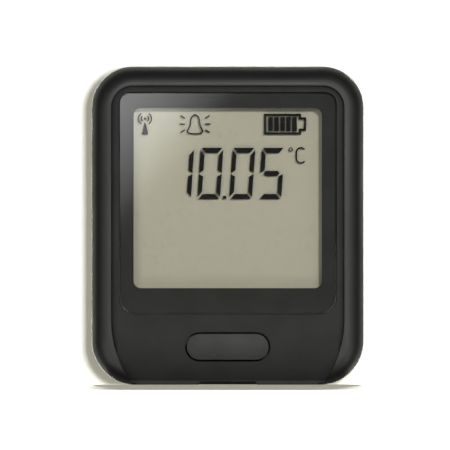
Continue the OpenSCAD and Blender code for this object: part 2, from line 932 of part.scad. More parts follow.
module bell_symbol() {
    ray_z = bell_ray_share * symbol_h;
    ray_step = bell_step_share * symbol_h;
    translate([bell_x, symbols_base]) {
        difference() {
            polygon(both_sides(bell_shares));
            polygon(both_sides(bell_inner_shares));
        }
        for (s = [0, 1], k = [-1, 0, 1]) mirror([s, 0]) translate([bell_ray_reach, ray_z + k * ray_step])
            rotate(k * bell_ray_angle) translate([0, -symbol_line / 2]) square([bell_ray_l, symbol_line]);
    }
}

module battery_symbol() {
    line = battery_line;
    nub_h = nub_share * symbol_h;
    bar_h = bar_share * symbol_h;
    translate([battery_symbol_x, symbols_base]) {
        difference() {
            union() {
                square([battery_symbol_w, symbol_h]);
                translate([battery_symbol_w - line, (symbol_h - nub_h) / 2]) square([nub_w + line, nub_h]);
            }
            translate([line, line]) square([battery_symbol_w - 2 * line, symbol_h - 2 * line]);
            translate([line, (symbol_h - nub_h) / 2 + line])
                square([battery_symbol_w + nub_w - 2 * line, nub_h - 2 * line]);
        }
        for (i = [0 : bar_count - 1])
            translate([bar_start + i * bar_pitch, (symbol_h - bar_h) / 2]) square([bar_w, bar_h]);
    }
}

module degree_symbol() {
    top = figures_z + digit_h / 2;
    translate([degree_x, top - degree_r]) difference() {
        circle(degree_r + degree_line / 2);
        circle(degree_r - degree_line / 2);
    }
    translate([degree_x + unit_gap, top - unit_r - unit_drop + degree_r]) {
        translate([0, unit_straight / 2]) ring_arc(unit_r, unit_line, unit_top_angle, 180);
        translate([0, -unit_straight / 2]) ring_arc(unit_r, unit_line, 180, unit_bottom_angle);
        translate([-unit_r - unit_line / 2, -unit_straight / 2]) square([unit_line, unit_straight]);
    }
}

module display_figures() {
    place = [for (i = [0 : digit_count - 1]) last_digit_right - i * digit_pitch - (i > 1 ? point_space : 0)];
    point_x = place[2] - slant_share * digit_h / 2 + (digit_pitch + point_space - digit_w) / 2;
    color(FIGURE) slab(cell_d, cell_t) {
        figure(place[3], ONE);
        figure(place[2], NOUGHT);
        figure(place[1], NOUGHT);
        figure(place[0], FIVE);
        translate([point_x - point_side / 2, figures_z - digit_h / 2]) square(point_side);
        mast_symbol();
        bell_symbol();
        battery_symbol();
        degree_symbol();
    }
}

module contact_strip() {
    color("pink") block(0, strip_z - strip_w / 2, strip_l, strip_w, cell_d, board_d - cell_d);
}

module display_frame() {
    inset = frame_window_inset;
    color(CREAM) difference() {
        slab(glass_d, board_d - glass_d) card(frame_w, frame_base, frame_top, frame_edge_r, frame_edge_r);
        view_sheet(glass_side + frame_gap, glass_top + frame_gap, glass_bottom + frame_gap, glass_d - over,
            shelf_d - glass_d + over);
        block(0, frame_base + frame_wall, frame_w - 2 * frame_wall, frame_top - frame_base - 2 * frame_wall,
            shelf_d + shelf_t, board_d);
        block(0, view_base + inset, view_w - 2 * inset, view_h - 2 * inset, shelf_d - over, board_d);
        block(0, strip_z - strip_w / 2 - strip_gap, strip_l + 2 * strip_gap, strip_w + 2 * strip_gap,
            shelf_d - over, board_d);
    }
}

module main_board() {
    edge = front_wall + board_gap;
    depth = board_t + 2 * over;
    color(BOARD) difference() {
        slab(board_d, board_t) outline(edge);
        at_bosses() rod(0, 0, rear_boss_r + board_notch_gap, board_d - over, depth);
        at_posts() rod(0, 0, board_screw_r + board_hole_gap, board_d - over, depth);
        for (s = [-1, 1])
            block(sensor_x + s * sensor_island / 2, edge - over, sensor_slot, sensor_island + over,
                board_d - over, depth);
    }
}

// The crown is the top of a lying capsule, trimmed to the button's outline
module crown() {
    l = button_w - button_h;
    translate([0, y_at(crown_d + crown_r), button_z + crown_rise]) rotate([0, 90, 0]) {
        cylinder(h = l, r = crown_r, center = true);
        for (s = [-1, 1]) translate([0, 0, s * l / 2]) sphere(crown_r);
    }
}

module button_cap() {
    hollow_gap = button_gap + cap_wall;
    color(KEY) union() {
        difference() {
            intersection() {
                slab(-over, roof_d + flange_t + over)
                    stadium(button_w - 2 * button_gap, button_h - 2 * button_gap, button_z);
                crown();
            }
            intersection() {
                slab(0, board_d) stadium(button_w - 2 * hollow_gap, button_h - 2 * hollow_gap, button_z);
                across(2 * body_w) rolled_profile(roof_roll_r + flange_gap);
            }
        }
        intersection() {
            slab(0, board_d) stadium(flange_w, flange_h, button_z);
            across(2 * body_w) difference() {
                rolled_profile(roof_roll_r - flange_gap);
                rolled_profile(roof_roll_r - flange_gap - flange_t);
            }
        }
        rod(0, button_z, stem_r, roof_d - boss_root, plunger_top_d - contact_gap - roof_d + boss_root);
    }
}

module switch_base() {
    leg_x = (switch_w + switch_leg_l) / 2;
    color(CHIP) {
        difference() {
            block(0, button_z - switch_w / 2, switch_w, switch_w, board_d - switch_base_t, switch_base_t);
            rod(0, button_z, plunger_flange_r + well_gap, board_d - switch_base_t - over,
                over + plunger_flange_t + button_travel + 2 * well_gap);
        }
        for (s = [-1, 1], t = [-1, 1])
            block(s * leg_x, button_z + t * switch_leg_pitch / 2 - switch_leg_w / 2,
                switch_leg_l + switch_leg_t, switch_leg_w, board_d - switch_leg_t, switch_leg_t);
    }
}

module switch_cover() {
    color(STEEL) difference() {
        block(0, button_z - switch_w / 2, switch_w, switch_w, switch_top_d, switch_cover_t);
        rod(0, button_z, plunger_r + plunger_gap, switch_top_d - over, switch_cover_t + 2 * over);
    }
}

module switch_plunger() {
    flange_d = switch_top_d + switch_cover_t + well_gap;
    color(CHIP) {
        rod(0, button_z, plunger_r, plunger_top_d, flange_d + plunger_flange_t - plunger_top_d);
        rod(0, button_z, plunger_flange_r, flange_d, plunger_flange_t);
    }
}

module socket_outline(inset) {
    w = socket_w - 2 * inset;
    t = socket_t - 2 * inset;
    r = socket_corner_r - inset;
    translate([r - w / 2, -t / 2]) square([w - 2 * r, t]);
    translate([-w / 2, r - t / 2]) square([w, t - 2 * r]);
    for (s = [-1, 1], u = [-1, 1]) translate([s * (w / 2 - r), u * (t / 2 - r)]) circle(r);
}

module socket_length(z, l) {
    translate([0, y_at(board_back_d + socket_t / 2), z]) linear_extrude(l) children();
}

module usb_shell() {
    color(STEEL) difference() {
        socket_length(socket_mouth_z, socket_l) socket_outline(0);
        socket_length(socket_mouth_z - over, socket_l + 2 * over) socket_outline(socket_wall);
    }
}

module usb_tongue() {
    block_z = socket_mouth_z + socket_l - tongue_block;
    color(CHIP) {
        socket_length(block_z, tongue_block) socket_outline(socket_wall);
        block(0, block_z - tongue_l, tongue_w, tongue_l + socket_wall,
            board_back_d + (socket_t - tongue_t) / 2, tongue_t);
    }
}

module radio_board() {
    color("navy") block(radio_x, radio_z, radio_w, radio_h, board_back_d, radio_board_t);
}

module radio_can() {
    wall = radio_can_wall;
    d = board_back_d + radio_board_t;
    color(STEEL) difference() {
        block(radio_x, radio_z + radio_margin, radio_can_w, radio_can_h, d, radio_can_t);
        block(radio_x, radio_z + radio_margin + wall, radio_can_w - 2 * wall, radio_can_h - 2 * wall,
            d - over, radio_can_t - wall + over);
    }
}

// A leaded chip: its body stands off the board on rows of leads
module microcontroller() {
    lead_reach = chip_w / 2 + chip_lead_l / 2;
    start = -chip_lead_pitch * (chip_lead_count - 1) / 2;
    color(CHIP) translate([chip_x, 0, chip_z]) {
        block(0, -chip_w / 2, chip_w, chip_w, board_back_d + chip_lift, chip_t);
        for (s = [-1, 1], i = [0 : chip_lead_count - 1])
            block(s * lead_reach, start + i * chip_lead_pitch - chip_lead_w / 2, chip_lead_l + chip_lead_w,
                chip_lead_w, board_back_d, chip_lead_t);
    }
}

module charger_chip() {
    color(CHIP) block(small_chip_x, small_chip_z, small_chip_w, small_chip_w, board_back_d, small_chip_t);
}

module crystal() {
    color(STEEL) block(crystal_x, chip_z, crystal_w, crystal_h, board_back_d, crystal_t);
}

module power_inductor() {
    color("dimgray") {
        for (d = [0, inductor_t - inductor_lip_t])
            block(inductor_x, small_chip_z, inductor_w, inductor_w, board_back_d + d, inductor_lip_t);
        rod(inductor_x, small_chip_z + inductor_w / 2, inductor_core_r, board_back_d, inductor_t);
    }
}

module capacitors() {
    color("tan") for (i = [0 : cap_count - 1])
        block(cap_x + i * cap_pitch, cap_z, cap_w, cap_h, board_back_d, cap_t);
}

module temperature_sensor() {
    color(CHIP) block(sensor_x, sensor_z - sensor_side / 2, sensor_side, sensor_side, board_back_d,
        sensor_t);
}

module battery_cell() {
    color(POUCH) slab(cell_front_d, cell_depth)
        card(cell_w, cell_z, cell_z + cell_h, cell_edge_r, cell_edge_r);
}

module battery_pad() {
    w = cell_w - 2 * cell_edge_r;
    h = cell_h - 2 * cell_edge_r;
    color("white") block(0, cell_z + cell_edge_r, w, h, rear_inner_d - pad_t, pad_t);
}

module battery_header() {
    color(CREAM) difference() {
        block(lead_x, plug_z + plug_proud, header_w, header_l, board_back_d, header_t);
        block(lead_x, plug_z, header_w - 2 * header_wall, plug_l + plug_gap, board_back_d + header_wall,
            header_t - 2 * header_wall);
    }
}

// The lead's middle line, as depth and height: it swings over to the plug and ends straight
function lead_point(t) = [lead_d - lead_shift * t * t * (3 - 2 * t), lead_start_z + lead_run * t];

lead_line = concat(
    [for (i = [0 : lead_rings]) lead_point(i / lead_rings)],
    [[header_d, plug_z + lead_depth]]);

// One conductor: a ring of points round every point of the line, joined by triangles
module conductor(x) {
    last = len(lead_line) - 1;
    points = [for (i = [0 : last], k = [0 : lead_sides - 1])
        let (step = lead_line[min(i + 1, last)] - lead_line[max(i - 1, 0)],
            tilt = i == 0 || i >= last - 1 ? 0 : atan2(step[0], step[1]),
            turn = 360 * k / lead_sides,
            out = lead_r * sin(turn))
        [x + lead_r * cos(turn), y_at(lead_line[i][0]) + out * cos(tilt),
            lead_line[i][1] - out * sin(tilt)]];
    sides = [for (i = [0 : last - 1], k = [0 : lead_sides - 1])
        let (a = i * lead_sides + k, b = i * lead_sides + (k + 1) % lead_sides)
        each [[a, a + lead_sides, b], [b, a + lead_sides, b + lead_sides]]];
    ends = [
        [for (k = [0 : lead_sides - 1]) k],
        [for (k = [lead_sides - 1 : -1 : 0]) last * lead_sides + k]];
    polyhedron(points, concat(sides, ends));
}

module battery_plug() {
    gap = header_wall + plug_gap;
    color("white") difference() {
        block(lead_x, plug_z, header_w - 2 * gap, plug_l, board_back_d + gap, header_t - 2 * gap);
        for (s = [-1, 1]) translate([lead_x + s * lead_pitch / 2, y_at(header_d), plug_z - over])
            cylinder(h = lead_depth + over, r = lead_r + pilot_gap);
    }
}

module battery_leads() {
    color("firebrick") for (s = [-1, 1]) conductor(lead_x + s * lead_pitch / 2);
}

// A pan head with a cross recess on a plain shank
module screw(r, l, head_r, t, d, recess) {
    slot = cross_share * r;
    difference() {
        union() {
            rod(0, 0, r, d - l, l);
            rod(0, 0, head_r, d, t);
        }
        block(0, -r, slot, 2 * r, d + t - recess, recess + over);
        block(0, -slot / 2, 2 * r, slot, d + t - recess, recess + over);
    }
}

module board_screws() {
    color(STEEL) at_posts() screw(board_screw_r, board_screw_l, board_head_r, board_head_t, board_back_d,
        board_head_t / 2);
}

module case_screws() {
    color(STEEL) at_bosses() screw(screw_r, screw_l, screw_head_r, head_t, seat_d, cross_depth);
}

front_casing();
rear_casing();
window_lens();
window_border();
lens_adhesive();
display_gasket();
front_polariser();
front_glass();
display_figures();
cell_seal();
rear_glass();
rear_reflector();
contact_strip();
display_frame();
main_board();
button_cap();
switch_base();
switch_cover();
switch_plunger();
usb_shell();
usb_tongue();
radio_board();
radio_can();
microcontroller();
charger_chip();
crystal();
power_inductor();
capacitors();
temperature_sensor();
battery_cell();
battery_pad();
battery_header();
battery_plug();
battery_leads();
board_screws();
case_screws();
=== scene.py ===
"""Finishes, details and studio of the temperature data logger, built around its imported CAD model.

Lengths are in metres. The display faces -Y, +X is to the right of someone who reads it, and +Z is up. Sizes that
belong to a CAD node are read from the node's box, so a dressed piece stays where the solid is.
"""

import logging
import math
from collections.abc import Callable
from dataclasses import dataclass
from enum import Enum

import bmesh
import bpy
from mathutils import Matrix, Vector


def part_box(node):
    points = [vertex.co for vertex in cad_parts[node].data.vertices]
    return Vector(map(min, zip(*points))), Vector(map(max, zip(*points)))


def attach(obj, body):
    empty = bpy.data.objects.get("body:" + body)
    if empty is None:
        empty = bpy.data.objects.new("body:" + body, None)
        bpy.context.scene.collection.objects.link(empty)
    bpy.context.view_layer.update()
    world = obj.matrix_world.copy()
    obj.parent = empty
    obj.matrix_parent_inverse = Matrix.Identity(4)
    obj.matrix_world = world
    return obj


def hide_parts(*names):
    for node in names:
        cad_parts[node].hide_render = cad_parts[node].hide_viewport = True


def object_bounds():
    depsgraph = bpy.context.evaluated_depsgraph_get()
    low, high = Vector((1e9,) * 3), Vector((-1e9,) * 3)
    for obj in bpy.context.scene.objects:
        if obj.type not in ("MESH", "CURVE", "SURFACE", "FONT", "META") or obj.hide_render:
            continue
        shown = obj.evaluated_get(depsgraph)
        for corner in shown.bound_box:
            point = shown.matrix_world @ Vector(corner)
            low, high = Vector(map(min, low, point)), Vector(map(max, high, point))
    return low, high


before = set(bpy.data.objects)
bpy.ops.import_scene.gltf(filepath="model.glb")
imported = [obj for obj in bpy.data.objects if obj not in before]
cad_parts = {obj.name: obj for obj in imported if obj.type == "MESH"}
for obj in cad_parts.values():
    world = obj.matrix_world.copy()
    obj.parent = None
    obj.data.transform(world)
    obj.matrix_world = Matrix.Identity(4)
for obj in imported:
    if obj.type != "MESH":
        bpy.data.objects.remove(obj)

MM = 0.001
CAD_BOX = [list(corner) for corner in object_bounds()]
PLASTIC_IOR = 1.47
NOISE_LOW, NOISE_HIGH = 0.3, 0.7
FLAT_COSINE, EDGE_COSINE = 0.96, 0.75
SHARED_PLANE_GAP = 0.02 * MM
UPRIGHT = math.radians(90)
CLEAR_LAYERS = 32

log = logging.getLogger("data_logger")

Colour = tuple[float, float, float]
Socket = bpy.types.NodeSocket


class Blend(Enum):
    """How one colour is laid over another."""

    MIX = "MIX"
    MULTIPLY = "MULTIPLY"


class Grain(Enum):
    """How a moulded surface's texture is cut into its tool."""

    SPARK_ERODED = "spark eroded"
    SATIN = "satin"


class Lit(Enum):
    """What a lamp falls on."""

    OBJECT = "the object"
    WALL = "studio_wall"
    FLOOR = "studio_floor"


def shaded(colour: Colour, factor: float) -> Colour:
    """Returns a colour times a factor, with no part above 1."""
    return tuple(min(part * factor, 1.0) for part in colour)


class Graph:
    """A material's nodes, made and joined by short calls."""

    def __init__(self, name: str) -> None:
        """Makes an empty material.

        Args:
            name: The material's name.
        """
        self.material: bpy.types.Material = bpy.data.materials.new(name)
        self.material.use_nodes = True
        self.tree: bpy.types.NodeTree = self.material.node_tree
        self.tree.nodes.clear()
        self.output: bpy.types.Node = self.tree.nodes.new("ShaderNodeOutputMaterial")
        self.place: Socket | None = None

    def node(self, kind: str, **settings: object) -> bpy.types.Node:
        """Adds a node.

        Args:
            kind: The node's type, without its ShaderNode prefix.
            settings: Properties of the node to set.

        Returns:
            The new node.
        """
        made = self.tree.nodes.new("ShaderNode" + kind)
        for key, value in settings.items():
            setattr(made, key, value)
        return made

    def join(self, source: Socket, target: Socket) -> None:
        """Links two sockets."""
        self.tree.links.new(source, target)

    def feed(self, target: Socket, value: Socket | float | tuple) -> None:
        """Sets a socket to a plain value, or links it.

        Args:
            target: The input socket.
            value: A number, a colour or an output socket.
        """
        if isinstance(value, bpy.types.NodeSocket):
            self.join(value, target)
        elif isinstance(value, tuple) and len(value) == 3 and target.type == "RGBA":
            target.default_value = (*value, 1.0)
        else:
            target.default_value = value

    def coordinates(self) -> Socket:
        """Finds the object coordinates, which are metres in the part's own frame.

        Returns:
            The coordinates, from one node for the whole material.
        """
        if self.place is None:
            self.place = self.node("TexCoord").outputs["Object"]
        return self.place

    def stretched(self, scale: tuple[float, float, float]) -> Socket:
        """Scales the object coordinates.

        Args:
            scale: What each axis is multiplied by.

        Returns:
            The scaled coordinates.
        """
        mapping = self.node("Mapping")
        mapping.inputs["Scale"].default_value = scale
        self.join(self.coordinates(), mapping.inputs["Vector"])
        return mapping.outputs["Vector"]

    def noise(self, size: float, detail: float = 2.0, place: Socket | None = None) -> Socket:
        """Adds noise.

        Args:
            size: The size of its patches, in metres.
            detail: How many finer layers it has.
            place: Coordinates to use instead of the object's own.

        Returns:
            The noise from 0 to 1.
        """
        made = self.node("TexNoise")
        made.inputs["Scale"].default_value = 1.0 / size
        made.inputs["Detail"].default_value = detail
        self.join(place or self.coordinates(), made.inputs["Vector"])
        return made.outputs["Fac"]

    def cells(self, size: float) -> Socket:
        """Adds a pattern of cells.

        Args:
            size: The size of a cell, in metres.

        Returns:
            The distance from the middle of the cell.
        """
        made = self.node("TexVoronoi", feature="F1")
        made.inputs["Scale"].default_value = 1.0 / size
        self.join(self.coordinates(), made.inputs["Vector"])
        return made.outputs["Distance"]

    def math(self, operation: str, *values: Socket | float) -> Socket:
        """Reckons with the values.

        Args:
            operation: What is done with them.
            values: Numbers or sockets.

        Returns:
            The result.
        """
        made = self.node("Math", operation=operation)
        for target, value in zip(made.inputs, values):
            self.feed(target, value)
        return made.outputs[0]

    def ranged(self, value: Socket, low: float, high: float, start: float, end: float) -> Socket:
        """Maps a value's range to another, smoothly and without overshoot.

        Args:
            value: The value.
            low: Where the range begins.
            high: Where it ends.
            start: What the beginning becomes.
            end: What the end becomes.

        Returns:
            The mapped value.
        """
        made = self.node("MapRange", interpolation_type="SMOOTHSTEP")
        for target, number in zip(made.inputs, (value, low, high, start, end)):
            self.feed(target, number)
        return made.outputs[0]

    def spread(self, noise: Socket, start: float = 0.0, end: float = 1.0) -> Socket:
        """Maps the range in which most of a noise lies to another.

        Args:
            noise: The noise.
            start: What its low patches become.
            end: What its high patches become.

        Returns:
            The mapped value.
        """
        return self.ranged(noise, NOISE_LOW, NOISE_HIGH, start, end)

    def blended(self, share: Socket | float, first: Socket | Colour, second: Socket | Colour,
                how: Blend = Blend.MIX) -> Socket:
        """Lays one colour over another.

        Args:
            share: How much of the second colour shows.
            first: The lower colour.
            second: The upper colour.
            how: The kind of mixture.

        Returns:
            The mixed colour.
        """
        made = self.node("Mix", data_type="RGBA", blend_type=how.value)
        factor, low, high = (s for s in made.inputs if s.enabled)
        for target, value in zip((factor, low, high), (share, first, second)):
            self.feed(target, value)
        return next(s for s in made.outputs if s.enabled)

    def bump(self, height: Socket, depth: float) -> Socket:
        """Adds relief.

        Args:
            height: The relief from 0 to 1.
            depth: How deep it is, in metres.

        Returns:
            The new normal.
        """
        made = self.node("Bump")
        made.inputs["Distance"].default_value = depth
        self.join(height, made.inputs["Height"])
        return made.outputs["Normal"]

    def worn_edges(self, radius: float) -> Socket:
        """Finds how near a point is to a convex or concave edge.

        Args:
            radius: How far from the edge the wear reaches, in metres.

        Returns:
            The nearness, from 0 on flats to 1 on the edge.
        """
        rounded = self.node("Bevel", samples=4)
        rounded.inputs["Radius"].default_value = radius
        flat = self.node("NewGeometry")
        dot = self.node("VectorMath", operation="DOT_PRODUCT")
        self.join(rounded.outputs["Normal"], dot.inputs[0])
        self.join(flat.outputs["Normal"], dot.inputs[1])
        return self.ranged(dot.outputs["Value"], FLAT_COSINE, EDGE_COSINE, 0.0, 1.0)

    def principled(self, **inputs: Socket | float | tuple) -> bpy.types.Node:
        """Adds the main shader.

        Args:
            inputs: Values or sockets for its inputs, with underscores for spaces in their names.

        Returns:
            The shader's node.
        """
        made = self.node("BsdfPrincipled")
        for key, value in inputs.items():
            self.feed(made.inputs[key.replace("_", " ")], value)
        return made

    def mixed(self, share: Socket, first: Socket, second: Socket) -> Socket:
        """Mixes two shaders.

        Args:
            share: How much of the second shader shows.
            first: One shader.
            second: The other shader.

        Returns:
            The mixed shader.
        """
        made = self.node("MixShader")
        for target, source in zip(made.inputs, (share, first, second)):
            self.join(source, target)
        return made.outputs[0]

    def finish(self, shader: Socket) -> bpy.types.Material:
        """Puts the shader out and returns the material."""
        self.join(shader, self.output.inputs["Surface"])
        return self.material


@dataclass(frozen=True)
class MouldedPlastic:
    """Injection-moulded plastic with a fine cut grain, faint mottling, and polish where hands rub it."""

    name: str
    colour: Colour
    roughness: float = 0.6
    gloss: float = 0.3
    grain: Grain = Grain.SPARK_ERODED
    grain_size: float = 0.16 * MM
    grain_depth: float = 0.012 * MM
    mottle: float = 0.1
    flow_size: float = 9 * MM
    speck_size: float = 0.5 * MM
    scuff_size: float = 1.1 * MM
    scuff_run: tuple[float, float, float] = (1.0, 1.0, 0.35)
    handled_size: float = 14 * MM
    edge_reach: float = 0.12 * MM
    edge_gain: float = 1.5
    edge_polish: float = 0.12

    def material(self) -> bpy.types.Material:
        """Builds the finish.

        Returns:
            The material.
        """
        g = Graph(self.name)
        colour, rough, normal = self.layers(g, self.roughness)
        return g.finish(g.principled(Base_Color=colour, Roughness=rough, Normal=normal, IOR=PLASTIC_IOR,
                                     Specular_IOR_Level=self.gloss).outputs[0])

    def layers(self, g: Graph, roughness: Socket | float) -> tuple[Socket, Socket, Socket]:
        """Makes the colour, roughness and normal of the grained surface.

        Args:
            g: The material's graph.
            roughness: The roughness before wear.

        Returns:
            The three sockets.
        """
        flow = g.noise(self.flow_size, 3.0)
        speck = g.noise(self.speck_size, 2.0)
        pale = shaded(self.colour, 1 + self.mottle)
        colour = g.blended(g.spread(flow), shaded(self.colour, 1 - self.mottle), pale)
        colour = g.blended(g.ranged(speck, 0.35, 0.75, 0.0, 0.5), colour, pale)
        scuffs = g.noise(self.scuff_size, 4.0, g.stretched(self.scuff_run))
        wear = g.math("MULTIPLY", g.worn_edges(self.edge_reach), g.ranged(scuffs, 0.35, 0.65, 0.2, 1.0))
        colour = g.blended(wear, colour, shaded(self.colour, self.edge_gain))
        handled = g.ranged(g.noise(self.handled_size, 3.0), 0.35, 0.7, 0.04, -0.05)
        rough = g.math("ADD", roughness, handled)
        rough = g.math("SUBTRACT", rough, g.math("MULTIPLY", wear, self.edge_polish))
        if self.grain is Grain.SPARK_ERODED:
            relief = g.math("ADD", g.cells(self.grain_size), g.noise(0.6 * self.grain_size, 2.0))
            relief = g.math("MULTIPLY", relief, 0.5)
        else:
            relief = g.noise(self.grain_size, 3.0)
        return colour, rough, g.bump(relief, self.grain_depth)


@dataclass(frozen=True)
class HousingPlastic(MouldedPlastic):
    """The housing's plastic: grained on the front panel, darker and smoother on the rails and the sides.

    The micro-roughness of the sides shades itself where it is seen at a slant, so the gloss falls off there.
    """

    rail_roughness: float = 0.45
    rail_share: float = 0.42
    rail_gloss: float = 0.37
    slant_start: float = 0.03
    slant_end: float = 0.3
    slant_gloss: float = 0.12
    panel_half_w: float = 30 * MM
    panel_top: float = 77 * MM
    panel_corner_r: float = 5.6 * MM
    lean_z: float = 17 * MM
    lean_r: float = 28.8 * MM
    blend_w: float = 0.2 * MM

    def material(self) -> bpy.types.Material:
        """Builds the finish, which changes at the panel's edge.

        Returns:
            The material.
        """
        g = Graph(self.name)
        rail = g.ranged(self.outside(g), -self.blend_w, self.blend_w, 0.0, 1.0)
        rough = g.ranged(rail, 0.0, 1.0, self.roughness, self.rail_roughness)
        gloss = g.ranged(rail, 0.0, 1.0, self.gloss, self.rail_gloss)
        colour, rough, normal = self.layers(g, rough)
        colour = g.blended(rail, colour, (self.rail_share,) * 3, Blend.MULTIPLY)
        slant = g.node("LayerWeight").outputs["Facing"]
        gloss = g.math("MULTIPLY", gloss, g.ranged(slant, self.slant_start, self.slant_end, 1.0, self.slant_gloss))
        shader = g.principled(Base_Color=colour, Roughness=rough, Normal=normal, IOR=PLASTIC_IOR,
                              Specular_IOR_Level=self.rail_gloss)
        g.join(gloss, shader.inputs["Specular IOR Level"])
        return g.finish(shader.outputs[0])

    def outside(self, g: Graph) -> Socket:
        """Measures how far a point lies outside the panel's outline.

        Args:
            g: The material's graph.

        Returns:
            The distance in metres, negative on the panel.
        """
        split = g.node("SeparateXYZ")
        g.join(g.coordinates(), split.inputs[0])
        x = g.math("ABSOLUTE", split.outputs["X"])
        z = split.outputs["Z"]
        drop = g.math("MAXIMUM", g.math("SUBTRACT", self.lean_z, z), 0.0)
        square = g.math("SUBTRACT", self.lean_r ** 2, g.math("MULTIPLY", drop, drop))
        lean = g.math("SUBTRACT", self.lean_r, g.math("SQRT", square))
        side = g.math("SUBTRACT", g.math("ADD", x, lean), self.panel_half_w - self.panel_corner_r)
        above = g.math("SUBTRACT", z, self.panel_top - self.panel_corner_r)
        side_out = g.math("MAXIMUM", side, 0.0)
        above_out = g.math("MAXIMUM", above, 0.0)
        corner = g.math("SQRT", g.math("ADD", g.math("MULTIPLY", side_out, side_out),
                                       g.math("MULTIPLY", above_out, above_out)))
        return g.math("SUBTRACT", corner, self.panel_corner_r)


@dataclass(frozen=True)
class ClearPlastic:
    """A clear thin sheet that mirrors on its outside, with hairline scratches and a little dust."""

    name: str
    tint: Colour = (0.985, 0.987, 0.98)
    roughness: float = 0.02
    ior: float = 1.49
    hair_size: float = 0.25 * MM
    hair_run: tuple[float, float, float] = (1.0, 1.0, 0.06)
    hair_depth: float = 0.0001 * MM
    dust_size: float = 1.6 * MM
    dust_haze: float = 0.03
    dust_shade: float = 0.98

    def material(self) -> bpy.types.Material:
        """Builds the finish.

        Returns:
            The material.
        """
        g = Graph(self.name)
        hair = g.noise(self.hair_size, 5.0, g.stretched(self.hair_run))
        dust = g.noise(self.dust_size, 6.0)
        rough = g.math("ADD", g.ranged(dust, 0.6, 0.8, 0.0, self.dust_haze), self.roughness)
        normal = g.bump(g.ranged(hair, 0.6, 0.75, 0.0, 1.0), self.hair_depth)
        mirror = g.principled(Base_Color=(1.0, 1.0, 1.0), Metallic=1.0, Roughness=rough, Normal=normal)
        clear = g.node("BsdfTransparent")
        dusty = g.blended(g.ranged(dust, 0.55, 0.8, 0.0, 1.0), self.tint, shaded(self.tint, self.dust_shade))
        g.join(dusty, clear.inputs["Color"])
        share = g.node("Fresnel")
        share.inputs["IOR"].default_value = self.ior
        side = g.node("NewGeometry")
        outside = g.math("SUBTRACT", 1.0, side.outputs["Backfacing"])
        return g.finish(g.mixed(g.math("MULTIPLY", share.outputs[0], outside), clear.outputs[0],
                                mirror.outputs[0]))


@dataclass(frozen=True)
class ScreenPrint:
    """Ink printed on the back of the window, with the faint mesh of the screen in it.

    It has hardly any gloss of its own, because it touches the window.
    """

    name: str
    colour: Colour = (0.045, 0.045, 0.0438)
    cloud_size: float = 7 * MM
    cloud_shade: float = 0.85
    mesh_size: float = 0.09 * MM
    mesh_depth: float = 0.002 * MM
    grit_size: float = 2 * MM
    gloss: float = 0.03

    def material(self) -> bpy.types.Material:
        """Builds the finish.

        Returns:
            The material.
        """
        g = Graph(self.name)
        cloud = g.spread(g.noise(self.cloud_size, 3.0))
        colour = g.blended(cloud, self.colour, shaded(self.colour, self.cloud_shade))
        normal = g.bump(g.cells(self.mesh_size), self.mesh_depth)
        rough = g.spread(g.noise(self.grit_size), 0.5, 0.62)
        return g.finish(g.principled(Base_Color=colour, Roughness=rough, Normal=normal,
                                     Specular_IOR_Level=self.gloss).outputs[0])


@dataclass(frozen=True)
class ReflectiveFilm:
    """The display's olive-grey ground: a brushed metallised film under a smooth clear layer."""

    name: str
    colour: Colour = (0.665, 0.624, 0.545)
    variation: float = 0.04
    brush_size: float = 0.5 * MM
    brush_run: tuple[float, float, float] = (1.0, 1.0, 9.0)
    brush_depth: float = 0.001 * MM
    cloud_size: float = 22 * MM
    grit_size: float = 0.35 * MM
    gloss: float = 0.3
    coat_roughness: float = 0.03
    coat_ior: float = 1.62

    def material(self) -> bpy.types.Material:
        """Builds the finish.

        Returns:
            The material.
        """
        g = Graph(self.name)
        brushed = g.noise(self.brush_size, 3.0, g.stretched(self.brush_run))
        pale = shaded(self.colour, 1 + self.variation)
        colour = g.blended(g.spread(brushed), shaded(self.colour, 1 - self.variation), pale)
        colour = g.blended(g.spread(g.noise(self.cloud_size, 2.0), 0.0, 0.35), colour, pale)
        rough = g.spread(g.noise(self.grit_size, 2.0), 0.62, 0.75)
        return g.finish(g.principled(Base_Color=colour, Roughness=rough, Normal=g.bump(brushed, self.brush_depth),
                                     Specular_IOR_Level=self.gloss, Coat_Weight=1.0,
                                     Coat_Roughness=self.coat_roughness, Coat_IOR=self.coat_ior).outputs[0])


@dataclass(frozen=True)
class SegmentInk:
    """The dark liquid-crystal segments, which are slightly uneven."""

    name: str
    colour: Colour = (0.013, 0.0128, 0.0138)
    cloud_size: float = 0.3 * MM
    cloud_gain: float = 1.3
    gloss: float = 0.05

    def material(self) -> bpy.types.Material:
        """Builds the finish.

        Returns:
            The material.
        """
        g = Graph(self.name)
        cloud = g.noise(self.cloud_size, 2.0)
        colour = g.blended(g.spread(cloud), self.colour, shaded(self.colour, self.cloud_gain))
        rough = g.spread(cloud, 0.5, 0.6)
        return g.finish(g.principled(Base_Color=colour, Roughness=rough,
                                     Specular_IOR_Level=self.gloss).outputs[0])


@dataclass(frozen=True)
class Metal:
    """Sheet or turned metal with drawn lines, small dents and a dull film."""

    name: str
    colour: Colour
    roughness: float = 0.34
    line: tuple[float, float, float] = (1.0, 8.0, 1.0)
    stain: Colour = (0.3, 0.28, 0.25)
    line_size: float = 0.25 * MM
    line_depth: float = 0.004 * MM
    film_size: float = 2.2 * MM

    def material(self) -> bpy.types.Material:
        """Builds the finish.

        Returns:
            The material.
        """
        g = Graph(self.name)
        drawn = g.noise(self.line_size, 4.0, g.stretched(self.line))
        film = g.noise(self.film_size, 4.0)
        colour = g.blended(g.ranged(film, 0.5, 0.8, 0.0, 0.35), self.colour, self.stain)
        rough = g.math("ADD", g.spread(drawn, -0.07, 0.09), self.roughness)
        normal = g.bump(drawn, self.line_depth)
        return g.finish(g.principled(Base_Color=colour, Metallic=1.0, Roughness=rough, Normal=normal).outputs[0])


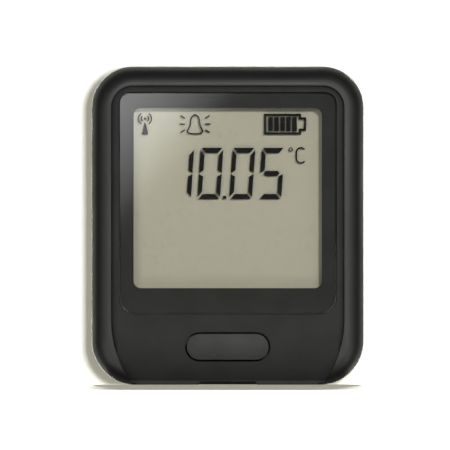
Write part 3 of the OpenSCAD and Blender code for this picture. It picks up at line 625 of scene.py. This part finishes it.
@dataclass(frozen=True)
class PlainBody:
    """Small moulded, pressed or coated parts: two close colours, a speckle and a shallow relief."""

    name: str
    colour: Colour
    second: Colour
    size: float = 0.6 * MM
    roughness: float = 0.55
    depth: float = 0.01 * MM
    weave: tuple[float, float, float] = (1.0, 1.0, 1.0)
    cloud_scale: float = 12.0

    def material(self) -> bpy.types.Material:
        """Builds the finish.

        Returns:
            The material.
        """
        g = Graph(self.name)
        fine = g.noise(self.size, 4.0, g.stretched(self.weave))
        cloud = g.noise(self.cloud_scale * self.size, 2.0)
        colour = g.blended(g.ranged(fine, 0.35, 0.65, 0.0, 1.0), self.colour, self.second)
        colour = g.blended(g.spread(cloud, 0.0, 0.4), colour, self.second)
        rough = g.math("ADD", g.spread(cloud, -0.06, 0.06), self.roughness)
        return g.finish(g.principled(Base_Color=colour, Roughness=rough,
                                     Normal=g.bump(fine, self.depth)).outputs[0])


@dataclass(frozen=True)
class StudioPaper:
    """The pale studio surface. It shows white to the camera where it is lit, and keeps the object's shadow."""

    name: str
    colour: Colour = (0.82, 0.81, 0.76)
    tooth_size: float = 2 * MM
    tooth_shade: float = 0.99
    roughness: float = 0.9
    gloss: float = 0.1
    lift: float = 0.3
    lift_colour: Colour = (1.0, 0.98, 0.78)

    def material(self, one_sided: bool = False) -> bpy.types.Material:
        """Builds the finish.

        Args:
            one_sided: True for a sheet that isn't there when it is looked at from behind.

        Returns:
            The material.
        """
        g = Graph(self.name)
        tooth = g.spread(g.noise(self.tooth_size, 3.0))
        colour = g.blended(tooth, self.colour, shaded(self.colour, self.tooth_shade))
        paper = g.principled(Base_Color=colour, Roughness=self.roughness, Specular_IOR_Level=self.gloss)
        path = g.node("LightPath")
        seen = g.math("MAXIMUM", path.outputs["Is Camera Ray"], path.outputs["Is Glossy Ray"])
        seen = g.math("MAXIMUM", seen, path.outputs["Is Transmission Ray"])
        glow = g.node("Emission")
        g.feed(glow.inputs["Color"], self.lift_colour)
        g.join(g.math("MULTIPLY", seen, self.lift), glow.inputs["Strength"])
        both = g.node("AddShader")
        g.join(paper.outputs[0], both.inputs[0])
        g.join(glow.outputs[0], both.inputs[1])
        if not one_sided:
            return g.finish(both.outputs[0])
        side = g.node("NewGeometry")
        clear = g.node("BsdfTransparent")
        return g.finish(g.mixed(side.outputs["Backfacing"], both.outputs[0], clear.outputs[0]))


@dataclass(frozen=True)
class MirroredCard:
    """A card whose light fades along a slant. The window mirrors it in its upper left corner.

    The fade starts at the corner that the window's own upper left corner mirrors, and the card reaches past it.
    """

    name: str
    strength: float = 5.3
    corner_x: float = -55.1 * MM
    corner_z: float = 109.3 * MM
    overhang: float = 60 * MM
    half_size: float = 100 * MM
    camera_gap: float = 50 * MM
    reach_x: float = 62.6 * MM
    reach_z: float = 71.2 * MM
    fullest: float = 1.1

    def material(self) -> bpy.types.Material:
        """Builds the card's light.

        Returns:
            The material.
        """
        g = Graph(self.name)
        split = g.node("SeparateXYZ")
        g.join(g.coordinates(), split.inputs[0])
        across = g.math("DIVIDE", g.math("SUBTRACT", split.outputs["X"], self.corner_x), self.reach_x)
        down = g.math("DIVIDE", g.math("SUBTRACT", self.corner_z, split.outputs["Z"]), self.reach_z)
        fade = g.math("MAXIMUM", g.math("SUBTRACT", 1.0, g.math("ADD", across, down)), 0.0)
        glow = g.node("Emission")
        g.join(g.math("MULTIPLY", g.math("MINIMUM", fade, self.fullest), self.strength), glow.inputs["Strength"])
        return g.finish(glow.outputs[0])


def dress(node: str, material: bpy.types.Material) -> None:
    """Gives a CAD node a finish.

    Args:
        node: The node's name.
        material: What all its faces get.
    """
    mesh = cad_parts[node].data
    mesh.materials.clear()
    mesh.materials.append(material)
    log.info("dressed %s in %s", node, material.name)


@dataclass(frozen=True)
class Pane:
    """A clear pane in the place of a CAD node.

    It is thinner than the node by front_gap and rear_gap where the node's face shares a plane with another piece's,
    because light that meets two faces in one plane may miss either.
    """

    name: str
    node: str
    corner_r: float
    low_corner_r: float
    edge: float
    edge_segments: int = 2
    corner_segments: int = 16
    front_gap: float = SHARED_PLANE_GAP
    rear_gap: float = SHARED_PLANE_GAP
    smooth_below: float = math.radians(20)
    sharp_above: float = math.radians(50)
    through_run: float = 0.5
    face_normal: float = 0.9

    def build(self, finish: bpy.types.Material) -> None:
        """Models the pane with rounded corners and broken edges, and dresses it.

        Args:
            finish: What all its faces get.
        """
        low, high = (Vector(corner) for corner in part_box(self.node))
        low.y += self.front_gap
        high.y -= self.rear_gap
        bpy.ops.object.select_all(action="DESELECT")
        bpy.ops.mesh.primitive_cube_add(size=1.0, location=(low + high) / 2)
        pane = bpy.context.object
        pane.name = self.name
        pane.dimensions = high - low
        bpy.ops.object.transform_apply(location=True, rotation=True, scale=True)
        middle = (low.z + high.z) / 2
        self.round_edges(pane, lambda across, z: across and z > middle, self.corner_r, self.corner_segments)
        self.round_edges(pane, lambda across, z: across and z < middle, self.low_corner_r, self.corner_segments)
        self.round_edges(pane, lambda across, z: not across, self.edge, self.edge_segments)
        bpy.ops.object.shade_smooth_by_angle(angle=self.smooth_below)
        pane.data.materials.append(finish)
        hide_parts(self.node)
        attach(pane, "housing")
        log.info("modelled %s", self.name)

    def round_edges(self, pane: bpy.types.Object, wanted: Callable[[bool, float], bool], width: float,
                    segments: int) -> None:
        """Bevels some of the sharp edges that run through the pane or round its two faces.

        Args:
            pane: The pane's object.
            wanted: Tells whether an edge is bevelled, from whether it runs through the pane, and its height.
            width: The bevel's width.
            segments: How many faces round each edge.
        """
        bpy.ops.object.mode_set(mode="EDIT")
        bpy.ops.mesh.select_mode(type="EDGE")
        bpy.ops.mesh.select_all(action="DESELECT")
        mesh = bmesh.from_edit_mesh(pane.data)
        for edge in mesh.edges:
            first, second = (vert.co for vert in edge.verts)
            across = abs((second - first).normalized().y) > self.through_run
            sharp = edge.calc_face_angle(0.0) > self.sharp_above
            on_face = any(abs(face.normal.y) > self.face_normal for face in edge.link_faces)
            if sharp and (across or on_face) and wanted(across, (first.z + second.z) / 2):
                edge.select_set(True)
        bmesh.update_edit_mesh(pane.data)
        bpy.ops.mesh.bevel(offset=width, segments=segments, affect="EDGES", profile=0.5)
        bpy.ops.object.mode_set(mode="OBJECT")


@dataclass
class Housing:
    """The two mouldings and the screws that join them."""

    plastic: HousingPlastic = HousingPlastic("housing_plastic", (0.036, 0.036, 0.0355), 0.65, 0.12)
    back: MouldedPlastic = MouldedPlastic("rear_plastic", (0.02, 0.02, 0.0197), 0.55)
    steel: Metal = Metal("plated_steel", (0.62, 0.61, 0.58))

    def build(self) -> None:
        """Dresses the casings and their screws."""
        dress("front_casing", self.plastic.material())
        dress("rear_casing", self.back.material())
        steel = self.steel.material()
        for node in ("case_screws", "board_screws", "switch_cover"):
            dress(node, steel)


@dataclass
class Window:
    """The clear window with its printed border, adhesive and gasket."""

    pane: Pane = Pane("window_pane", "window_lens", 2.9 * MM, 4.5 * MM, 0.2 * MM, front_gap=0.0)
    clear: ClearPlastic = ClearPlastic("window_plastic")
    ink: ScreenPrint = ScreenPrint("border_ink")
    foam: PlainBody = PlainBody("gasket_foam", (0.012, 0.012, 0.012), (0.02, 0.02, 0.02), 0.3 * MM, 0.9, 0.05 * MM)

    def build(self) -> None:
        """Dresses the window's pieces."""
        self.pane.build(self.clear.material())
        dress("window_border", self.ink.material())
        foam = self.foam.material()
        dress("lens_adhesive", foam)
        dress("display_gasket", foam)


@dataclass
class Display:
    """The segment display: glass, films, segments, seal, frame and contact strip."""

    film: ClearPlastic = ClearPlastic("display_film", (0.985, 0.985, 0.975), 0.03, 1.05)
    glass: ClearPlastic = ClearPlastic("display_glass", (0.99, 0.992, 0.985), 0.02, 1.05)
    panes: tuple[Pane, ...] = (
        Pane("front_pane", "front_glass", 0.15 * MM, 0.15 * MM, 0.1 * MM, 1),
        Pane("rear_pane", "rear_glass", 0.15 * MM, 0.15 * MM, 0.1 * MM, 1),
    )
    segments: SegmentInk = SegmentInk("segment_ink")
    ground: ReflectiveFilm = ReflectiveFilm("reflective_film")
    seal: PlainBody = PlainBody("cell_sealant", (0.5, 0.48, 0.4), (0.56, 0.54, 0.46))
    strip: PlainBody = PlainBody("striped_elastomer", (0.7, 0.35, 0.38), (0.05, 0.05, 0.05), 0.1 * MM,
                                 weave=(1.0, 0.02, 0.02))
    frame_plastic: PlainBody = PlainBody("frame_plastic", (0.66, 0.65, 0.6), (0.7, 0.69, 0.65))

    def build(self) -> None:
        """Dresses the display's pieces."""
        dress("front_polariser", self.film.material())
        glass = self.glass.material()
        for pane in self.panes:
            pane.build(glass)
        dress("display_figures", self.segments.material())
        dress("rear_reflector", self.ground.material())
        dress("cell_seal", self.seal.material())
        dress("contact_strip", self.strip.material())
        dress("display_frame", self.frame_plastic.material())


@dataclass
class PushButton:
    """The oblong button and the switch behind it."""

    cap: MouldedPlastic = MouldedPlastic("button_plastic", (0.05, 0.05, 0.0492), grain=Grain.SATIN,
                                         grain_size=0.2 * MM)
    switch: PlainBody = PlainBody("switch_plastic", (0.014, 0.014, 0.015), (0.02, 0.02, 0.021))

    def build(self) -> None:
        """Dresses the button and the switch."""
        dress("button_cap", self.cap.material())
        switch = self.switch.material()
        dress("switch_base", switch)
        dress("switch_plunger", switch)


@dataclass
class Board:
    """The circuit board and what is soldered to it."""

    mask: PlainBody = PlainBody("solder_mask", (0.012, 0.1, 0.045), (0.016, 0.13, 0.06), 1.2 * MM, 0.35)
    radio_mask: PlainBody = PlainBody("radio_mask", (0.012, 0.03, 0.12), (0.016, 0.04, 0.15), 1.2 * MM, 0.35)
    epoxy: PlainBody = PlainBody("chip_epoxy", (0.013, 0.013, 0.014), (0.018, 0.018, 0.019), 0.2 * MM, 0.6)
    tin: Metal = Metal("tin_plate", (0.68, 0.67, 0.62), 0.3, (8.0, 1.0, 1.0))
    ferrite: PlainBody = PlainBody("ferrite", (0.05, 0.05, 0.055), (0.075, 0.073, 0.072), 0.25 * MM, 0.7)
    ceramic: PlainBody = PlainBody("ceramic", (0.42, 0.3, 0.18), (0.5, 0.38, 0.24), 0.3 * MM, 0.5)

    def build(self) -> None:
        """Dresses the board's pieces."""
        dress("main_board", self.mask.material())
        dress("radio_board", self.radio_mask.material())
        epoxy, tin = self.epoxy.material(), self.tin.material()
        for node in ("microcontroller", "charger_chip", "temperature_sensor", "usb_tongue"):
            dress(node, epoxy)
        for node in ("radio_can", "crystal", "usb_shell"):
            dress(node, tin)
        dress("power_inductor", self.ferrite.material())
        dress("capacitors", self.ceramic.material())


@dataclass
class Battery:
    """The cell, its pad and its lead."""

    pouch: Metal = Metal("laminated_foil", (0.66, 0.67, 0.69), 0.4, (1.0, 1.0, 5.0), (0.45, 0.46, 0.48))
    pad: PlainBody = PlainBody("foam_tape", (0.8, 0.8, 0.78), (0.7, 0.7, 0.68), 0.3 * MM, 0.9, 0.04 * MM)
    nylon: PlainBody = PlainBody("nylon", (0.72, 0.7, 0.62), (0.78, 0.76, 0.69))
    wire: PlainBody = PlainBody("wire_insulation", (0.4, 0.02, 0.015), (0.45, 0.035, 0.025), 0.8 * MM, 0.4)

    def build(self) -> None:
        """Dresses the battery's pieces."""
        dress("battery_cell", self.pouch.material())
        dress("battery_pad", self.pad.material())
        nylon = self.nylon.material()
        dress("battery_header", nylon)
        dress("battery_plug", nylon)
        dress("battery_leads", self.wire.material())


@dataclass(frozen=True)
class Lamp:
    """A soft lamp, placed by the direction that the object sees it in.

    It stands right degrees to the right of the camera's direction and up degrees above it. Its distance, width and
    height are in metres, and its power is in watts.
    """

    name: str
    right: float
    up: float
    distance: float
    width: float
    height: float
    power: float
    lit: Lit = Lit.OBJECT


@dataclass
class Studio:
    """The pale floor and backdrop, the soft lamps, the card that the window mirrors, and the camera.

    The lamps that light the object fall on neither sheet, and the wall and the floor each have a lamp of their own.
    So both sheets are white where they are lit, and each keeps a shadow of the photograph's width.
    """

    camera_distance: float = 4.0
    camera_sees: float = 20.0
    frame_width: float = 116 * MM
    centre_x: float = -0.7 * MM
    centre_z: float = 41.13 * MM
    sensor: float = 36.0
    sheet_reach: float = 3.0
    wall_gap: float = 0.3 * MM
    sky: Colour = (1.0, 0.98, 0.9)
    sky_strength: float = 0.05
    aim: tuple[float, float, float] = (0.0, -10 * MM, 41 * MM)
    sheet_cuts: int = 4
    paper: StudioPaper = StudioPaper("studio_paper")
    card: MirroredCard = MirroredCard("mirrored_card")
    lamps: tuple[Lamp, ...] = (
        Lamp("key", 12.0, 14.0, 1.2, 0.1, 0.1, 6.4),
        Lamp("fill_left", -16.0, 8.0, 1.2, 0.45, 0.3, 1.6),
        Lamp("low_left", -20.0, -28.0, 1.2, 0.7, 0.6, 2.1),
        Lamp("side_right", 32.0, 10.0, 1.2, 0.5, 0.3, 1.2),
        Lamp("rear_fill", 180.0, 2.0, 1.2, 0.5, 0.5, 17.0),
        Lamp("wall_lamp", 6.4, 3.5, 1.2, 0.13, 0.13, 16.0, Lit.WALL),
        Lamp("floor_lamp", 179.3, 33.0, 4.0, 0.6, 0.15, 520.0, Lit.FLOOR),
    )

    def build(self) -> None:
        """Makes the set, the lamps and the camera."""
        self.build_set()
        self.build_card()
        self.build_world()
        for lamp in self.lamps:
            self.build_lamp(lamp)
        self.build_camera()

    def build_set(self) -> None:
        """Makes the floor, and the wall behind the object, which only shows from its front."""
        wall_y = CAD_BOX[1][1] + self.wall_gap
        for side, y, turn, finish in (
            (Lit.FLOOR, 0.0, 0.0, self.paper.material()),
            (Lit.WALL, wall_y, UPRIGHT, self.paper.material(one_sided=True)),
        ):
            bpy.ops.object.select_all(action="DESELECT")
            bpy.ops.mesh.primitive_grid_add(x_subdivisions=self.sheet_cuts, y_subdivisions=self.sheet_cuts,
                                            size=2 * self.sheet_reach, location=(0.0, y, 0.0),
                                            rotation=(turn, 0.0, 0.0))
            sheet = bpy.context.object
            sheet.name = side.value
            bpy.ops.object.transform_apply(location=True, rotation=True, scale=True)
            sheet.data.materials.append(finish)
            sheet.visible_shadow = side is Lit.FLOOR
            sheet.visible_diffuse = False

    def build_card(self) -> None:
        """Makes the graded card beside the camera, which only the window's gloss meets."""
        bpy.ops.object.select_all(action="DESELECT")
        inward = self.card.half_size - self.card.overhang
        bpy.ops.mesh.primitive_plane_add(size=2 * self.card.half_size, rotation=(UPRIGHT, 0.0, 0.0),
                                         location=(self.card.corner_x + inward,
                                                   self.card.camera_gap - self.camera_distance,
                                                   self.card.corner_z - inward))
        sheet = bpy.context.object
        sheet.name = self.card.name
        bpy.ops.object.transform_apply(location=True, rotation=True, scale=True)
        sheet.data.materials.append(self.card.material())
        sheet.visible_camera = False
        sheet.visible_diffuse = False
        sheet.visible_shadow = False

    def build_world(self) -> None:
        """Gives the world its plain light."""
        world = bpy.data.worlds.new("studio_world")
        bpy.context.scene.world = world
        world.use_nodes = True
        ground = world.node_tree.nodes["Background"]
        ground.inputs["Color"].default_value = (*self.sky, 1.0)
        ground.inputs["Strength"].default_value = self.sky_strength

    def lit_pieces(self, lit: Lit) -> bpy.types.Collection:
        """Gives the collection that tells a lamp what it falls on.

        Args:
            lit: One of the set's sheets, or the object and neither sheet.

        Returns:
            The collection, which is made when it is first asked for.
        """
        name = "lit_" + lit.name.lower()
        if name in bpy.data.collections:
            return bpy.data.collections[name]
        made = bpy.data.collections.new(name)
        for side in (Lit.WALL, Lit.FLOOR) if lit is Lit.OBJECT else (lit,):
            made.objects.link(bpy.data.objects[side.value])
        for item in made.collection_objects:
            item.light_linking.link_state = "EXCLUDE" if lit is Lit.OBJECT else "INCLUDE"
        return made

    def build_lamp(self, lamp: Lamp) -> None:
        """Adds a lamp that the camera doesn't see.

        Args:
            lamp: What to build.
        """
        data = bpy.data.lights.new(lamp.name, "AREA")
        data.shape, data.size, data.size_y, data.energy = "RECTANGLE", lamp.width, lamp.height, lamp.power
        made = bpy.data.objects.new(lamp.name, data)
        right, up = math.radians(lamp.right), math.radians(lamp.up)
        away = Vector((math.sin(right) * math.cos(up), -math.cos(right) * math.cos(up), math.sin(up)))
        made.location = Vector(self.aim) + lamp.distance * away
        made.rotation_euler = away.to_track_quat("Z", "Y").to_euler()
        made.visible_camera = False
        made.light_linking.receiver_collection = self.lit_pieces(lamp.lit)
        if lamp.lit is Lit.OBJECT:
            made.light_linking.blocker_collection = self.lit_pieces(lamp.lit)
        bpy.context.scene.collection.objects.link(made)

    def build_camera(self) -> None:
        """Makes the camera, which looks straight at the front from far away."""
        data = bpy.data.cameras.new("camera")
        data.sensor_width = self.sensor
        data.lens = self.sensor * self.camera_distance / self.frame_width
        data.clip_end = self.camera_sees
        camera = bpy.data.objects.new("camera", data)
        camera.location = (self.centre_x, -self.camera_distance, self.centre_z)
        camera.rotation_euler = (UPRIGHT, 0.0, 0.0)
        bpy.context.scene.collection.objects.link(camera)
        bpy.context.scene.camera = camera


def main() -> None:
    """Builds the sub-assemblies in order."""
    bpy.context.scene.view_settings.view_transform = "Standard"
    bpy.context.scene.cycles.transparent_max_bounces = CLEAR_LAYERS
    for part in (Housing(), Window(), Display(), PushButton(), Board(), Battery(), Studio()):
        part.build()
        log.info("built %s", type(part).__name__)


if __name__ == "__main__":
    logging.basicConfig(level=logging.INFO)
    main()
